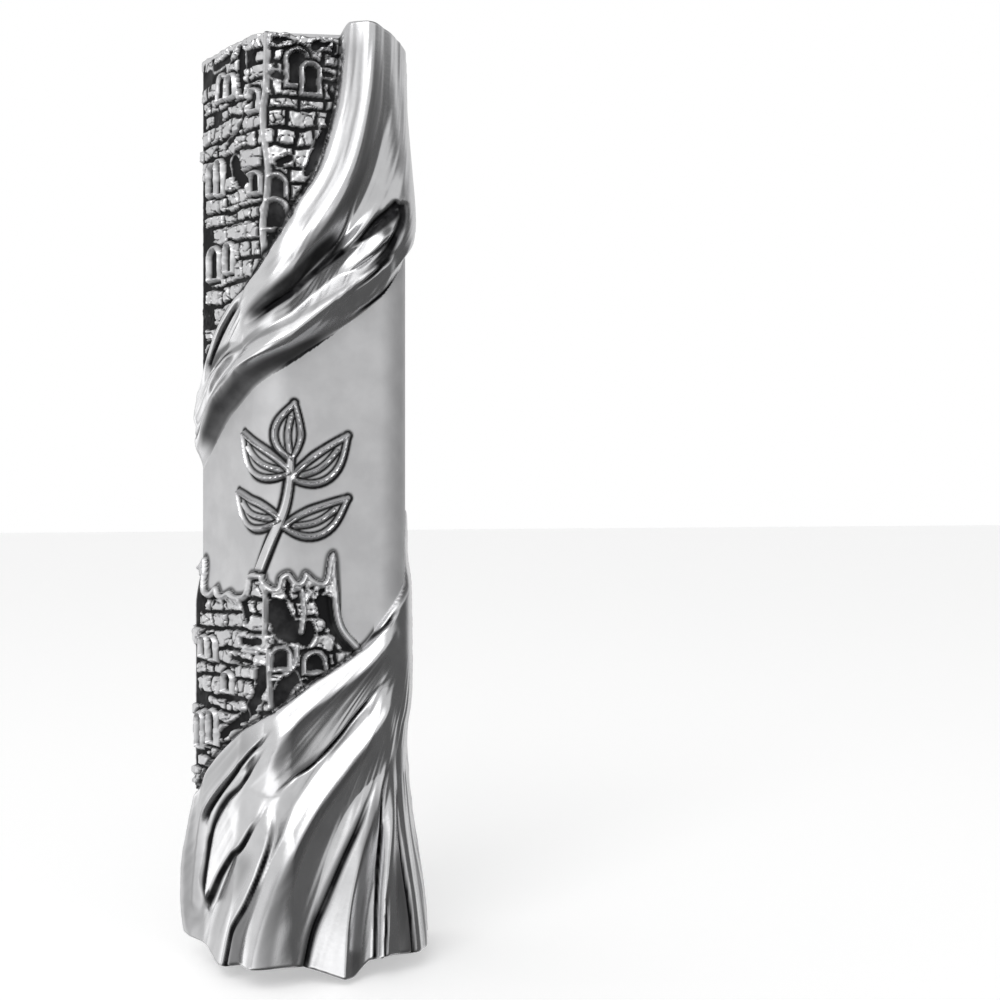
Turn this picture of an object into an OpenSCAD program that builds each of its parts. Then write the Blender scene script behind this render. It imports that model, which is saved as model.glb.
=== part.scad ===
// Mezuzah case: a cast pewter shell with a scroll channel behind, closed by a steel back plate.
// Millimetres. The origin is the middle of the back, against the doorpost: +Z is up,
// the front faces -Y, and +Y goes into the doorpost.

/* [Case] */
// Overall height, from the hem to the top of the cloth roll
case_h = 140; // [139.5:0.1:141]
// Width of the back, against the doorpost
back_w = 32.5; // [32:0.1:34.5]
// Width of the front, between the bends
front_w = 21; // [20.5:0.1:22]
// Depth, from the doorpost to the front
case_d = 17.5; // [17.3:0.1:19]
// Radius of the bend between the front and each side
bend_r = 5; // [4:0.1:6]

/* [Cloth] */
// Thickness of the cast cloth over the wall
cloth_t = 1; // [0.8:0.05:1.3]
// Height of the upper cloth's folds
upper_fold = 1; // [0.5:0.05:1.3]
// Height of the lower cloth's folds at the hem
lower_fold = 1.5; // [0.8:0.05:2]
// How far the hem flares out
hem_flare = 2; // [1:0.1:3]

/* [Wall relief] */
// Height of one course of stones
course_h = 2.7; // [2.4:0.1:3.2]
// Length of one stone, with its joint
stone_l = 4.6; // [4:0.1:5.5]
// Width of the joints between stones
mortar_w = 0.5; // [0.4:0.05:0.8]
// How far the stones stand out
stone_out = 0.45; // [0.3:0.05:0.6]
// Width of the stem of the raised sprig
emblem_line_w = 1.2; // [0.9:0.05:1.5]
// Greatest width of the sprig's leaves
leaf_w = 4.2; // [3:0.1:4.6]
// How far the sprig stands out
emblem_out = 0.7; // [0.4:0.05:0.9]

/* [Scroll] */
// Height of the parchment scroll
klaf_h = 100; // [98:0.5:100]
// Outside diameter of the scroll's plastic sleeve
sleeve_d = 12.4; // [12:0.1:12.6]
// Wall of the sleeve
sleeve_wall = 0.5; // [0.4:0.05:0.7]
// Clearance all round the sleeve in its channel
sleeve_gap = 0.4; // [0.3:0.05:0.5]

/* [Back plate] */
// Thickness of the back plate
plate_t = 1.5; // [1.4:0.05:1.6]
// Width of the back plate
plate_w = 25; // [24.8:0.1:25.2]
// Clearance between the plate's edge and its rebate
plate_gap = 0.15; // [0.1:0.05:0.2]
// Distance between the two keyholes
keyhole_spacing = 120; // [119.5:0.1:120.5]
// Radius of each keyhole's round entry
keyhole_r = 3.5; // [3.3:0.1:3.7]
// Radius of the narrow end of each keyhole
keyhole_slot_r = 1.75; // [1.5:0.05:2]
// Rise from the entry to the narrow end
keyhole_rise = 4.2; // [4:0.1:4.4]

/* [Screws] */
// Shank radius of the countersunk screws
screw_r = 0.95; // [0.9:0.01:1]
// Radius of the screw heads
head_r = 1.9; // [1.8:0.05:2]
// Length of the screws
screw_l = 6; // [5:0.5:7]
// Distance of the screws from the case's middle, sideways
screw_x = 9.8; // [9.6:0.1:10]
// Distance of the screws from the middle, up and down
screw_z = 42; // [36:0.5:46]

/* [Hidden] */
$fn = 48;

// The outline of the section is measured by s, the distance along it from the front's middle.
side_x = (back_w - front_w) / 2;
side_turn = atan2(case_d, side_x);
bend_tangent = bend_r * tan(side_turn / 2);
front_half = front_w / 2 - bend_tangent;
bend_l = bend_r * side_turn * PI / 180;
side_l = norm([side_x, case_d]) - bend_tangent;
outline_half = front_half + bend_l + side_l;

skin_columns = 40;
skin_rows = 58;

// The wall's top is lower than the cloth roll that hangs over it.
wall_top = case_h / 2 - 2.1;
roll_left = 0.5;

// The upper cloth sweeps round a centre up and to the left of the wall.
upper_centre = [-30, 67];
// The lower cloth fans out from a centre at the right edge.
lower_centre = [12, -7];
emblem_centre = [-6.8, 2.6];
// Clear strip between the stones and the back edge
stone_margin = 3.2;

plate_top = 65.6;
plate_bottom = -68;
plate_h = plate_top - plate_bottom;
plate_mid = (plate_top + plate_bottom) / 2;
plate_corner = 3;
ledge_gap = 0.05;
keyhole_mid = -2.4;
pocket_depth = 5.5;
pocket_margin = 0.3;

cap_flange = 1.2;
cap_plug = 4;
sleeve_r = sleeve_d / 2;
sleeve_bore = sleeve_r - sleeve_wall;
sleeve_h = klaf_h + 1;
channel_r = sleeve_r + sleeve_gap;
channel_h = sleeve_h + 2 * cap_flange + 1;
scroll_y = -plate_t - 0.3 - sleeve_r;

head_h = 1.1;
countersink_gap = 0.05;
thread_clearance = 0.05;
drive_w = 0.45;
drive_depth = 0.6;
screw_places = [[-screw_x, screw_z], [screw_x, screw_z], [-screw_x, -screw_z], [screw_x, -screw_z]];

parchment_t = 0.2;
parchment_pitch = 0.32;
parchment_core = 2.6;
parchment_turns = 8;

function smooth(x) = let (t = min(max(x, 0), 1)) t * t * (3 - 2 * t);

// A point of the plain section at s, with the direction out of it: [x, y, out_x, out_y]
function section(s) =
    let (a = abs(s), k = sign(s))
    a < front_half ? [s, -case_d, 0, -1] :
    a < front_half + bend_l ?
        let (q = (a - front_half) / bend_r * 180 / PI)
        [k * (front_half + bend_r * sin(q)), -case_d + bend_r * (1 - cos(q)), k * sin(q), -cos(q)] :
    let (
        past = a - front_half - bend_l,
        end_x = front_half + bend_r * sin(side_turn),
        end_y = -case_d + bend_r * (1 - cos(side_turn))
    )
    [k * (end_x + past * cos(side_turn)), end_y + past * sin(side_turn), k * sin(side_turn), -cos(side_turn)];

// A point that stands out from the section by `out`, at the height z
function on_skin(s, z, out) = let (p = section(s)) [p[0] + out * p[2], p[1] + out * p[3], z];

// Upper cloth: angle round its centre, and how far across the cloth a place is, 0 to 1
function upper_angle(s, z) = atan2(upper_centre[1] - z, s - upper_centre[0]);
function upper_inner(a) = 31 + 15 * pow(max(a, 0) / 90, 2.5);
function upper_outer(a) = 52.5 + (a < 52 ? 0.02 : 0.0066) * pow(a - 52, 2);
function upper_across(s, z) =
    let (a = upper_angle(s, z), r = norm([s - upper_centre[0], z - upper_centre[1]]))
    (r - upper_inner(a)) / (upper_outer(a) - upper_inner(a));
function upper_out(s, z) =
    let (
        across = upper_across(s, z),
        cover = smooth(across / 0.1) * smooth((1 - across) / 0.2),
        roll = smooth((z - 25) / 40) * (1.4 * exp(-pow((s - 4) / 3, 2)) - 1.6 * smooth((s - 6) / 3))
    )
    cover * max(cloth_t + upper_fold * (0.5 - 0.5 * cos(360 * 3 * across)) + roll, 0.2);

// Lower cloth: angle below the horizontal round its centre, and the angle of its upper edge
function lower_angle(s, z) = atan2(lower_centre[1] - z, lower_centre[0] - s);
function lower_edge(r) = 40 + 25 * exp(-(r - 15) / 12);
function lower_past(s, z) =
    lower_angle(s, z) - lower_edge(norm([s - lower_centre[0], z - lower_centre[1]]));
function lower_out(s, z) =
    let (past = lower_past(s, z), down = smooth((-18 - z) / 52))
    smooth(past / 6) * (cloth_t + hem_flare * down
        + (0.3 + (lower_fold - 0.3) * down) * (0.5 + 0.5 * cos(360 * past / 15)));

function skin_out(s, z) = max(upper_out(s, z), lower_out(s, z));

// The cloth roll stands above the wall, and the hem waves.
function skin_top(s) = wall_top + (case_h / 2 - wall_top) * smooth((s - roll_left + 1) / 2);
function skin_bottom(s) = -case_h / 2 + 0.5 * (1 + sin(360 * s / 13));

// The plain wall leans back to the section at the back edge, which lies flat on the doorpost.
function skin_point(column, row) =
    let (
        s = outline_half * (2 * column / skin_columns - 1),
        z = skin_bottom(s) + (skin_top(s) - skin_bottom(s)) * row / skin_rows,
        out = skin_out(s, z)
    )
    column == 0 ? [-back_w / 2 - out, 0, z] :
    column == skin_columns ? [back_w / 2 + out, 0, z] :
    on_skin(s, z, out);

module skin() {
    across = skin_columns + 1;
    points = [
        for (row = [0:skin_rows], column = [0:skin_columns]) skin_point(column, row),
        [0, -6, -case_h / 2 + 0.5],
        [0, -6, wall_top]
    ];
    bottom_middle = len(points) - 2;
    top_middle = len(points) - 1;
    top_row = skin_rows * across;
    sides = [
        for (row = [0:skin_rows - 1], column = [0:skin_columns - 1])
            let (a = row * across + column, b = a + across)
            each [[a, b, a + 1], [a + 1, b, b + 1]]
    ];
    back = [
        for (row = [0:skin_rows - 1])
            let (a = row * across, b = a + across)
            each [[a, a + skin_columns, b], [a + skin_columns, b + skin_columns, b]]
    ];
    ends = [
        for (column = [0:skin_columns - 1])
            each [[bottom_middle, column, column + 1], [top_middle, top_row + column + 1, top_row + column]]
    ];
    close = [
        [bottom_middle, skin_columns, 0],
        [top_middle, top_row, top_row + skin_columns]
    ];
    polyhedron(points = points, faces = concat(sides, back, ends, close));
}

// One dressed stone, set into the wall at s and z
module stone(s, z, length, height) {
    place = section(s);
    translate([place[0], place[1], z])
        rotate([0, 0, atan2(place[2], -place[3])])
            translate([-length / 2, -stone_out, -height / 2])
                cube([length, stone_out + 0.8, height]);
}

// Courses of stones between two heights, on the upper wall or the lower one, clear of the cloth
function upper_wall_shows(s, z) = upper_across(s, z) < -0.02 && s < 0;
function lower_wall_shows(s, z) = lower_past(s, z) < -2 && s < 2;
module courses(z_low, z_high, upper) {
    rows = floor((z_high - z_low) / course_h);
    for (row = [0:rows - 1], place = [0:6]) {
        z = z_high - (row + 0.5) * course_h;
        s = -outline_half + stone_margin + stone_l * (place + (row % 2) / 2);
        corners = [for (ds = [-0.5, 0.5], dz = [-0.5, 0.5]) [s + ds * stone_l, z + dz * course_h]];
        hidden = [for (c = corners) if (!(upper ? upper_wall_shows(c[0], c[1]) : lower_wall_shows(c[0], c[1]))) c];
        if (len(hidden) == 0 && (row + 2 * place) % 5 != 0)
            stone(s, z, stone_l - mortar_w, course_h - mortar_w);
    }
}

// A raised line with a flat top, swept along points [s, z] on the section; a leaf tapers to both ends
module raised_line(path, width, out, leaf = false) {
    last = len(path) - 1;
    directions = [for (i = [0:last]) let (d = path[min(i + 1, last)] - path[max(i - 1, 0)]) d / norm(d)];
    widths = [for (i = [0:last]) leaf ? width * (0.15 + 0.85 * sin(180 * i / last)) : width];
    profile = [[-0.5, -0.6], [-0.4, out], [0.4, out], [0.5, -0.6]];
    points = [
        for (i = [0:last], corner = profile)
            let (side = [-directions[i][1], directions[i][0]] * corner[0] * widths[i])
            on_skin(path[i][0] + side[0], path[i][1] + side[1], corner[1])
    ];
    sides = [
        for (i = [0:last - 1], k = [0:3])
            let (a = 4 * i + k, b = 4 * i + (k + 1) % 4)
            each [[a, b, a + 4], [b, b + 4, a + 4]]
    ];
    ends = [[0, 2, 1], [0, 3, 2], [4 * last, 4 * last + 1, 4 * last + 2], [4 * last, 4 * last + 2, 4 * last + 3]];
    polyhedron(points = points, faces = concat(sides, ends));
}

// A curve that leaves the first point towards the second and ends at the third
function curve(a, b, c, steps = 12) =
    [for (i = [0:steps]) let (t = i / steps, u = 1 - t) u * u * a + 2 * u * t * b + t * t * c];

// A raised emblem: an olive sprig, which is one stem with five leaves
module emblem() {
    stem = [[-4.6, -13.2], [-0.6, -5], [0.2, 4]];
    leaves = [
        [[0.2, 3.4], [-0.8, 7], [0.8, 11.6]],
        [[0.1, 1.4], [-5, 1.6], [-8.2, 7.4]],
        [[0.3, 0.6], [5.2, 1], [8.8, 7]],
        [[-1.2, -5.4], [-6.4, -5.6], [-9.8, -1.2]],
        [[-0.8, -6.4], [4.4, -6.8], [8.8, -2.2]]
    ];
    raised_line([for (p = curve(stem[0], stem[1], stem[2])) emblem_centre + p], emblem_line_w, emblem_out);
    for (leaf = leaves)
        raised_line([for (p = curve(leaf[0], leaf[1], leaf[2])) emblem_centre + p], leaf_w, emblem_out, true);
}

module capsule_2d(radius, low, high) {
    translate([-radius, low]) square([2 * radius, high - low]);
    translate([0, low]) circle(r = radius);
    translate([0, high]) circle(r = radius);
}

// Extrudes an [x, z] outline forward from y = back to y = back - depth
module forward(back, depth) {
    translate([0, back, 0]) rotate([90, 0, 0]) linear_extrude(height = depth) children();
}

module plate_outline(grow) {
    half_w = plate_w / 2 + grow;
    half_h = plate_h / 2 + grow;
    translate([0, plate_mid]) {
        square([2 * half_w, 2 * (half_h - plate_corner)], center = true);
        square([2 * (half_w - plate_corner), 2 * half_h], center = true);
        for (x = [-1, 1], z = [-1, 1])
            translate([x * (half_w - plate_corner), z * (half_h - plate_corner)])
                circle(r = plate_corner);
    }
}

module at_keyholes() {
    for (side = [-0.5, 0.5]) translate([0, keyhole_mid + side * keyhole_spacing]) children();
}

// The channel for the sleeve: half round at the front, open at the back
module scroll_channel() {
    translate([0, scroll_y, -channel_h / 2]) cylinder(r = channel_r, h = channel_h);
    translate([-channel_r, scroll_y, -channel_h / 2]) cube([2 * channel_r, 1 - scroll_y, channel_h]);
}

module case_casting() {
    color([0.72, 0.72, 0.73]) difference() {
        union() {
            skin();
            courses(30, wall_top - 1, true);
            courses(-36, -15, false);
            emblem();
        }
        scroll_channel();
        forward(1, 1 + plate_t + ledge_gap) plate_outline(plate_gap);
        forward(1, 1 + pocket_depth)
            at_keyholes() capsule_2d(keyhole_r + pocket_margin, 0, keyhole_rise);
        for (place = screw_places)
            translate([place[0], 1, place[1]]) rotate([90, 0, 0]) cylinder(r = screw_r + thread_clearance, h = 8);
    }
}

module back_plate() {
    color([0.6, 0.61, 0.62]) difference() {
        forward(0, plate_t) plate_outline(0);
        forward(1, 1 + 2 * plate_t) at_keyholes() {
            circle(r = keyhole_r);
            capsule_2d(keyhole_slot_r, 0, keyhole_rise);
        }
        for (place = screw_places)
            translate([place[0], 0, place[1]]) rotate([90, 0, 0]) {
                translate([0, 0, -1]) cylinder(r = screw_r + 0.2, h = 3 * plate_t);
                translate([0, 0, -0.01])
                    cylinder(r1 = head_r + countersink_gap, r2 = screw_r + countersink_gap, h = head_h);
            }
    }
}

// A countersunk screw with a cross recess, its head flush with the back
module plate_screw(place) {
    sink = 0.05;
    color([0.78, 0.78, 0.76]) translate([place[0], -sink, place[1]]) rotate([90, 0, 0]) difference() {
        union() {
            cylinder(r1 = head_r - 0.02, r2 = screw_r, h = head_h);
            cylinder(r = screw_r, h = screw_l - 0.6);
            translate([0, 0, screw_l - 0.6]) cylinder(r1 = screw_r, r2 = 0.5, h = 0.6);
        }
        for (turn = [0, 90])
            rotate([0, 0, turn]) translate([-1.1, -drive_w / 2, -1]) cube([2.2, drive_w, 1 + drive_depth]);
    }
}

module plate_screw_1() { plate_screw(screw_places[0]); }
module plate_screw_2() { plate_screw(screw_places[1]); }
module plate_screw_3() { plate_screw(screw_places[2]); }
module plate_screw_4() { plate_screw(screw_places[3]); }

module scroll_sleeve() {
    color([0.85, 0.9, 0.93, 0.4]) translate([0, scroll_y, -sleeve_h / 2]) difference() {
        cylinder(r = sleeve_r, h = sleeve_h);
        translate([0, 0, -1]) cylinder(r = sleeve_bore, h = sleeve_h + 2);
    }
}

// A push-in cap with its flange outward along +Z, at the sleeve's upper end
module sleeve_cap() {
    color([0.93, 0.93, 0.9]) translate([0, scroll_y, sleeve_h / 2]) difference() {
        union() {
            cylinder(r = sleeve_r, h = cap_flange);
            translate([0, 0, -cap_plug]) cylinder(r = sleeve_bore, h = cap_plug);
        }
        translate([0, 0, -cap_plug - 1]) cylinder(r = sleeve_bore - 0.2, h = cap_plug + 1);
    }
}

module sleeve_cap_upper() { sleeve_cap(); }
module sleeve_cap_lower() { mirror([0, 0, 1]) sleeve_cap(); }

// The parchment, rolled into a spiral
module klaf_scroll() {
    steps = 24 * parchment_turns;
    function at(i, out) = let (a = 360 * i / 24) (parchment_core + parchment_pitch * i / 24 + out) * [cos(a), sin(a)];
    spiral = concat([for (i = [0:steps]) at(i, 0)], [for (i = [steps:-1:0]) at(i, parchment_t)]);
    color([0.93, 0.88, 0.76]) translate([0, scroll_y, -klaf_h / 2])
        linear_extrude(height = klaf_h) polygon(spiral);
}

case_casting();
back_plate();
plate_screw_1();
plate_screw_2();
plate_screw_3();
plate_screw_4();
scroll_sleeve();
sleeve_cap_upper();
sleeve_cap_lower();
klaf_scroll();
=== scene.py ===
"""Looks of the mezuzah case: the detailed casting, the materials, the camera and the light.

Shapes are worked out in millimetres on the casting's unrolled skin. A place there is (s, z):
s is the distance round the section from the middle of the front, z is the height.
"""

import math

import bmesh
import bpy
import numpy as np
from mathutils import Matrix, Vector
from mathutils.geometry import tessellate_polygon


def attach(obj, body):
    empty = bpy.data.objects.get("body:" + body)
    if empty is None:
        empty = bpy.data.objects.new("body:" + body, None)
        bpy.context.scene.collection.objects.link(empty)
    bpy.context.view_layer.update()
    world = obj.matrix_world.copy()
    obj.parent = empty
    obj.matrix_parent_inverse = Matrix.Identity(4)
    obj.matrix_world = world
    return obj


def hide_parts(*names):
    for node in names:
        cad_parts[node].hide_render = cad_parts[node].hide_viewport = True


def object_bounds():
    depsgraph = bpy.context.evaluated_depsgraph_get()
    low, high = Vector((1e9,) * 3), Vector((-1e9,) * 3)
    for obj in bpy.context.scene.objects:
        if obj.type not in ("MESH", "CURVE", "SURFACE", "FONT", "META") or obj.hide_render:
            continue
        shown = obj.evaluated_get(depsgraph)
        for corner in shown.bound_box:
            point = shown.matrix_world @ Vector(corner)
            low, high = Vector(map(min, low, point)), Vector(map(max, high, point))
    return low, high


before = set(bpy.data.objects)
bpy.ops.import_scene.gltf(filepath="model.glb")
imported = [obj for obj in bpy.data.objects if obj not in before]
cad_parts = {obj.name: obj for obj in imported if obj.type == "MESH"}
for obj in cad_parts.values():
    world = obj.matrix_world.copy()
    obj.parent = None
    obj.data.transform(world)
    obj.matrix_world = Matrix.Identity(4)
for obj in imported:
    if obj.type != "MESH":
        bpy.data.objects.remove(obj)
cad_box = [list(corner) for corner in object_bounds()]

MM = 0.001

# ---------------------------------------------------------------- sizes shared with the CAD model

CASE_H = 140.0
BACK_W = 32.5
FRONT_W = 21.0
CASE_D = 17.5
BEND_R = 5.0
WALL_TOP = CASE_H / 2 - 2.1

# Cut into the back, which lies at y = 0: the plate's rebate, the scroll's channel, a pocket behind each
# keyhole, and the holes for the plate's screws
REBATE_Y = -1.55
REBATE_HALF_W = 12.65
REBATE_TOP = 65.75
REBATE_BOTTOM = -68.15
REBATE_CORNER = 3.15
CHANNEL_R = 6.6
CHANNEL_HALF_H = 52.2
CHANNEL_Y = -8.0
POCKET_R = 3.8
POCKET_RISE = 4.2
POCKET_Y = -5.5
KEYHOLE_ZS = (-62.4, 57.6)
SCREW_X = 9.8
SCREW_Z = 42.0
SCREW_HOLE_R = 1.0
SCREW_HOLE_Y = -7.0

SIDE_X = (BACK_W - FRONT_W) / 2
SIDE_TURN = math.atan2(CASE_D, SIDE_X)
BEND_TANGENT = BEND_R * math.tan(SIDE_TURN / 2)
FRONT_HALF = FRONT_W / 2 - BEND_TANGENT
BEND_L = BEND_R * SIDE_TURN
OUTLINE_HALF = FRONT_HALF + BEND_L + math.hypot(SIDE_X, CASE_D) - BEND_TANGENT

# ---------------------------------------------------------------- the unrolled skin

COLUMNS = 340
ROWS = 860
S_LINE = np.linspace(-OUTLINE_HALF, OUTLINE_HALF, COLUMNS)


def smooth(x):
    """0 below 0, 1 above 1, with a smooth step between."""
    t = np.clip(x, 0, 1)
    return t * t * (3 - 2 * t)


def rounded(x):
    """0 below 0, 1 above 1, with a quarter circle between."""
    t = np.clip(x, 0, 1)
    return np.sqrt(1 - (1 - t) ** 2)


def bell(x, centre, width):
    """1 at the centre, falling off smoothly to 0 on both sides."""
    return np.exp(-((x - centre) / width) ** 2)


def fade(along, first, last, start=0.1):
    """Holds a stroke back near its two ends: over the share `first` of its length, and over `last`."""
    return smooth(along / first + start) * smooth((1 - along) / last + start)


def through(points, steps=8):
    """A smooth curve through a few points, as an array with `steps` points between each two."""
    p = np.array(points, float)
    p = np.vstack([2 * p[0] - p[1], p, 2 * p[-1] - p[-2]])
    t = np.linspace(0, 1, steps, endpoint=False)[:, None]
    parts = []
    for a, b, c, d in zip(p[:-3], p[1:-2], p[2:-1], p[3:]):
        bend = 2 * a - 5 * b + 4 * c - d
        parts.append(0.5 * (2 * b + (c - a) * t + bend * t**2 + (3 * b - 3 * c + d - a) * t**3))
    return np.vstack(parts + [p[-2:-1]])


def section(s):
    """The plain section at s: x, y and the direction out of it."""
    a = np.abs(s)
    side = np.sign(s)
    turned = np.clip((a - FRONT_HALF) / BEND_R, 0, SIDE_TURN)
    past = np.maximum(a - FRONT_HALF - BEND_L, 0)
    x = np.minimum(a, FRONT_HALF) + BEND_R * np.sin(turned) + past * math.cos(SIDE_TURN)
    y = -CASE_D + BEND_R * (1 - np.cos(turned)) + past * math.sin(SIDE_TURN)
    return side * x, y, side * np.sin(turned), -np.cos(turned)


def top_line(s):
    """The height of the top: the wall's uneven edge on the left, the cloth roll above it on the right."""
    roll = smooth((s - 0.4) / 1.6)
    past = 0.8 * smooth((s - 4) / 6) + 0.9 * smooth((s - 9) / 4)
    wall = WALL_TOP - 0.3 * bell(s, -4.5, 2.5) - 0.15 * np.sin(s * 1.3) ** 2
    return wall + (CASE_H / 2 - wall) * roll - past


HEM_POINTS = [
    (-28, -66.3), (-25.5, -66.6), (-23, -67.1), (-20.4, -67.9), (-18, -68.2), (-15.5, -67.9), (-12, -67),
    (-9, -66.8), (-6, -67.1), (-3, -68), (0, -69), (2, -69.4), (3.3, -68.6), (4.5, -67.6), (6, -66.9),
    (9, -67), (12, -67.8), (16, -68.4), (20, -68), (25, -68.6), (28, -67.5),
]


def hem_line(s):
    """The lower edge of the lower cloth, which waves in and out."""
    return np.interp(s, *through(HEM_POINTS).T)


S, V = np.meshgrid(S_LINE, np.linspace(0, 1, ROWS))
Z = hem_line(S) + (top_line(S) - hem_line(S)) * V


def bumps(seed, u, v):
    """Smooth random bumps, from -1 to 1, about one unit across in u and in v."""
    rng = np.random.default_rng(seed)
    u, v = u - u.min(), v - v.min()
    i, j = u.astype(int), v.astype(int)
    a, b = smooth(u - i), smooth(v - j)
    grid = rng.uniform(-1, 1, (i.max() + 2, j.max() + 2))
    low = grid[i, j] * (1 - a) + grid[i + 1, j] * a
    high = grid[i, j + 1] * (1 - a) + grid[i + 1, j + 1] * a
    return low * (1 - b) + high * b


# Stands for the distance of a place that no line comes near
FAR = 1e3


def near(line, reach):
    """For each place within reach of a line: its distance, how far along, and which side it is on."""
    gap = np.full(S.shape, FAR)
    along = np.zeros(S.shape)
    side = np.ones(S.shape)
    lengths = np.hypot(*np.diff(line, axis=0).T)
    starts = np.concatenate([[0], np.cumsum(lengths)])
    for k, (a, b) in enumerate(zip(line[:-1], line[1:])):
        low, high = np.minimum(a, b) - reach, np.maximum(a, b) + reach
        m = (S > low[0]) & (S < high[0]) & (Z > low[1]) & (Z < high[1])
        if not m.any() or lengths[k] == 0:
            continue
        ds, dz = S[m] - a[0], Z[m] - a[1]
        u = (b - a) / lengths[k]
        t = np.clip(ds * u[0] + dz * u[1], 0, lengths[k])
        d = np.hypot(ds - t * u[0], dz - t * u[1])
        share = (starts[k] + t) / starts[-1]
        facing = np.sign(u[0] * dz - u[1] * ds)
        closer = d < gap[m]
        for grid, value in ((gap, d), (along, share), (side, facing)):
            kept = grid[m]
            kept[closer] = value[closer]
            grid[m] = kept
    return gap, along, side


# Reach that covers the skin on both sides of a cloth's edge
WHOLE_SKIN = 60


def side_of(line):
    """Signed distance to a line: positive below it and to its right."""
    gap, _, side = near(line, WHOLE_SKIN)
    return gap * side


# How sharply a fold falls off on its two sides
RIGHT_FALL = 2.0
LEFT_FALL = 1.3


def fold_ridges(folds):
    """How far a cloth stands up in folds, which meet each other in valleys."""
    total = np.zeros(S.shape)
    for points, height, left, right, crest, fade_in, fade_out in folds:
        gap, along, side = near(through(points), max(left, right) + 3)
        gap = np.hypot(gap, crest) - crest
        x = np.clip(gap / np.where(side > 0, right, left), 0, 1)
        fall = (1 - x) ** np.where(side > 0, RIGHT_FALL, LEFT_FALL)
        total = np.maximum(total, height * fade(along, fade_in, fade_out) * fall)
    return total


SEAM_DEPTH = 0.5


def seams(lines):
    """Narrow grooves at the foot of folds: their depth, and the patina left in them."""
    groove = np.zeros(S.shape)
    marks = np.zeros(S.shape)
    for points, width_first, width_last, fade_in, fade_out in lines:
        gap, along, _ = near(through(points), 2.5)
        width = width_first + (width_last - width_first) * along
        held = fade(along, fade_in, fade_out)
        x = gap / (0.5 * width)
        groove = np.maximum(groove, held * SEAM_DEPTH * bell(x, 0, 1))
        marks = np.maximum(marks, held * smooth(1.6 - x))
    return groove, marks


def shades(strokes):
    """Painted shade along a cloth's folds and over facets, partly patina in the valleys. A stroke is a line,
    its first and last half width, and its depth.
    """
    marks = np.zeros(S.shape)
    for points, first, last, depth in strokes:
        gap, along, _ = near(through(points), 2.5 * max(first, last))
        x = gap / (first + (last - first) * along)
        marks = np.maximum(marks, depth * fade(along, 0.15, 0.15, 0) * smooth(1.5 - x))
    return marks


def beside(points):
    """Reads a height off a short list of (z, out) for every place."""
    return np.interp(Z, *through(sorted(points)).T)


# ---------------------------------------------------------------- upper cloth

# Its upper left edge and its lower right edge, from the top of the roll round to the left side
UPPER_EDGE = through([
    (0.9, 77), (0.9, 68), (0.2, 60), (-0.8, 55), (-2.2, 50), (-3.8, 46.5), (-6, 43), (-8.2, 39),
    (-10, 35.5), (-11.5, 33), (-14.5, 30.8), (-18, 28.8), (-21, 26.6), (-23.5, 24), (-25.5, 21.5),
    (-28, 17.5), (-31, 13),
])
LOWER_EDGE = through([
    (34, 47), (22, 42.5), (14, 38), (10, 33.8), (6.5, 29.6), (2, 26), (-5, 20.9), (-10, 17.8), (-13, 16),
    (-17, 13.8), (-20, 12), (-25, 7.6), (-28, 4.8), (-31, 2),
])

# Each fold: its line, its height, its width on the left and on the right, how round its crest is, and how it
# fades in and out
UPPER_FOLDS = [
    ([(4.8, 76), (4.8, 66), (4.2, 58), (2.8, 51), (1, 46), (-1.6, 41.2), (-4.8, 37), (-8.4, 31.5),
      (-11.5, 27.4), (-15, 24.4), (-19, 22)], 2.3, 3.0, 2.6, 1.6, 0.02, 0.35),
    ([(6.5, 43.5), (4.2, 40.5), (1.5, 37.4), (-2, 34.2), (-5, 31.4), (-9, 27.6), (-13, 24.2), (-17, 22.4)],
     1.2, 0.9, 3.0, 0.3, 0.3, 0.4),
    ([(9.2, 38.5), (6, 34.6), (2, 31.2), (-2, 28.1), (-6, 24.8), (-10, 21.6), (-13.5, 19), (-18, 16.6),
      (-22, 13.8), (-26, 9.8), (-29, 6.5)], 2.0, 2.4, 3.2, 0.5, 0.2, 0.15),
    ([(8.4, 41), (7.2, 39), (5.4, 36.8), (3, 34.8), (0, 32.2)], 1.5, 2.2, 0.9, 0.4, 0.3, 0.5),
    ([(-13, 23.4), (-17, 21.2), (-21, 18.8), (-25, 15.2), (-28.5, 11.5)], 1.3, 2.4, 1.0, 0.4, 0.3, 0.1),
    ([(-12.5, 31), (-16, 28.8), (-19, 26.6), (-21.8, 23.8), (-24, 20.6), (-26, 17)],
     0.8, 2.0, 1.1, 0.3, 0.2, 0.2),
]
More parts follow.
